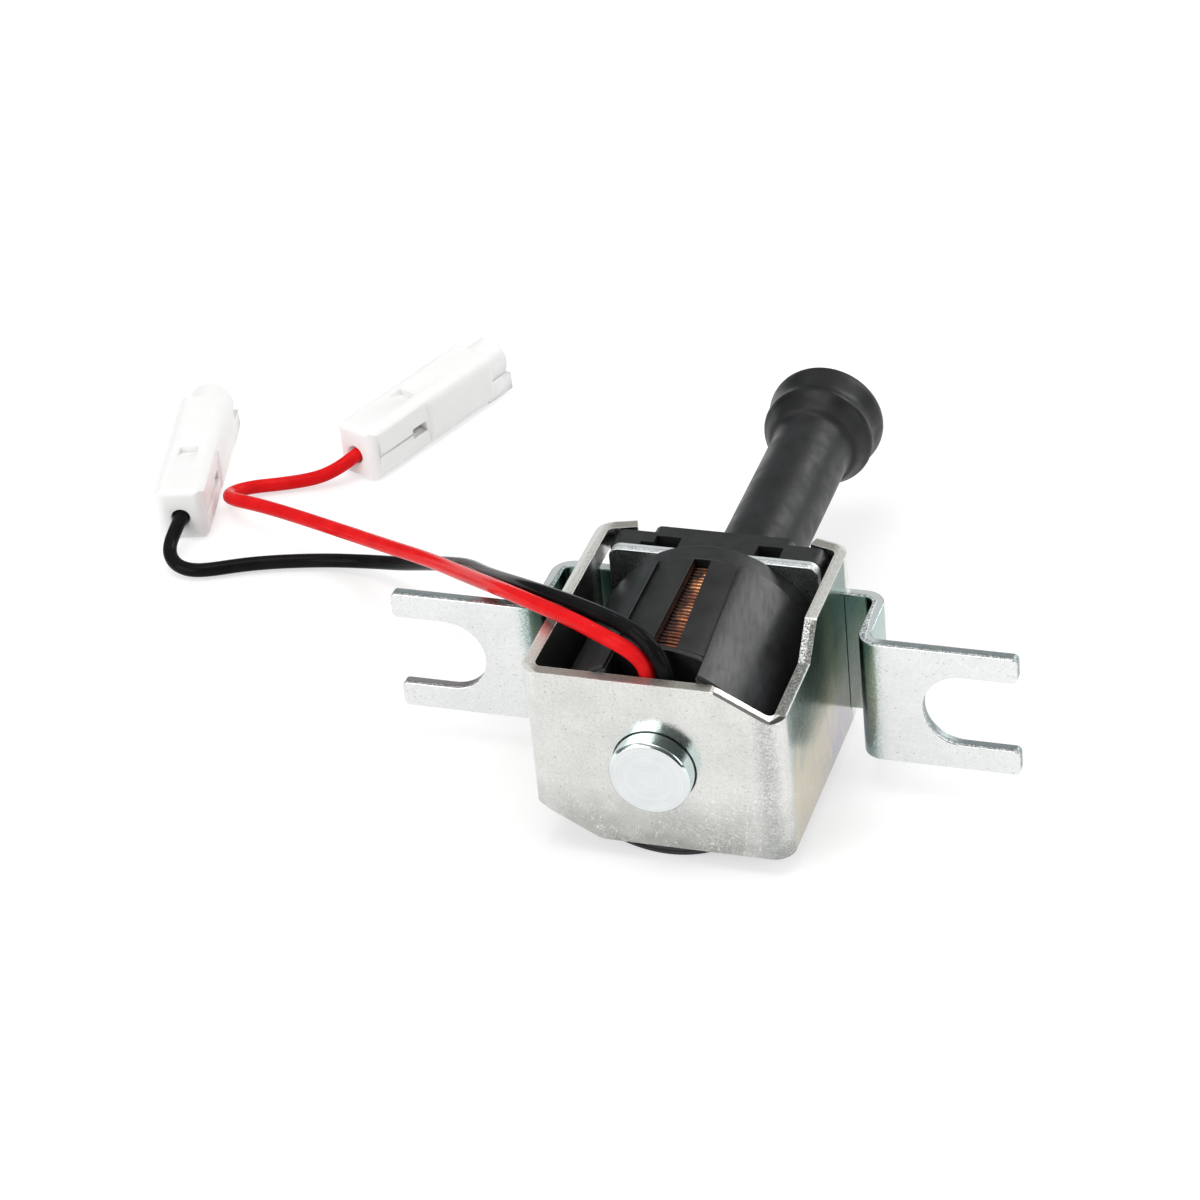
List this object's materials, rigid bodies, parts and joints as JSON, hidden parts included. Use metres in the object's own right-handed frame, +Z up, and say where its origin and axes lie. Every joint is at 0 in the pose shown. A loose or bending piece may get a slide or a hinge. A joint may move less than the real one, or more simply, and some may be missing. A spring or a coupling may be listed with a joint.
{
  "type": "open-frame pull solenoid",
  "caption": "Open-frame pull solenoid: folded steel frame, wrapped coil, hat-shaped bracket with open fork ears, sprung rubber-headed plunger and plug-ended leads.",
  "frame": {"origin": "on the resting plane, under the middle of the solenoid's box without its leads and plugs", "axes": "+Y along the plunger, towards its rubber head; +Z up through the coil's open side; X from fork ear to fork ear"},
  "size_m": [0.1615, 0.1267, 0.0372],
  "materials": {
    "plated_steel": "zinc-plated sheet, satin, with rough sheared edges",
    "turned_steel": "turned, with fine concentric rings",
    "spring_steel": "drawn wire",
    "brass": "plain",
    "copper": "enamelled copper wire",
    "black_plastic": "moulded, satin",
    "grey_wrap": "satin insulating sheet",
    "black_wrap": "satin insulating sheet",
    "black_rubber": "moulded rubber, matte",
    "red_pvc": "glossy PVC",
    "black_pvc": "glossy PVC",
    "white_nylon": "natural nylon, slightly translucent"
  },
  "bodies": {
    "housing": {"frame": "plated_steel", "fixed_core": "turned_steel", "core_bumper": "black_rubber", "guide_tube": "brass", "bobbin": "black_plastic", "winding": "copper", "inner_wrap": "grey_wrap", "outer_wrap": "black_wrap", "flux_plate": "plated_steel", "mounting_bracket": "plated_steel", "end_plate": "black_plastic", "return_spring": "spring_steel", "red_splice": "brass", "black_splice": "brass", "red_lead": "red_pvc", "black_lead": "black_pvc", "red_connector": "white_nylon", "black_connector": "white_nylon", "red_terminal": "brass", "black_terminal": "brass"},
    "plunger": {"plunger": "turned_steel", "stop_washer": "black_rubber", "plunger_boot": "black_rubber"}
  },
  "joints": [
    {"name": "plunger_slide", "type": "slide", "parent": "housing", "child": "plunger", "axis": [0, 1, 0], "range_m": [-0.008, 0], "stiffness_N_per_m": 150, "springref_m": 0.004, "deforming": ["return_spring"]}
  ]
}
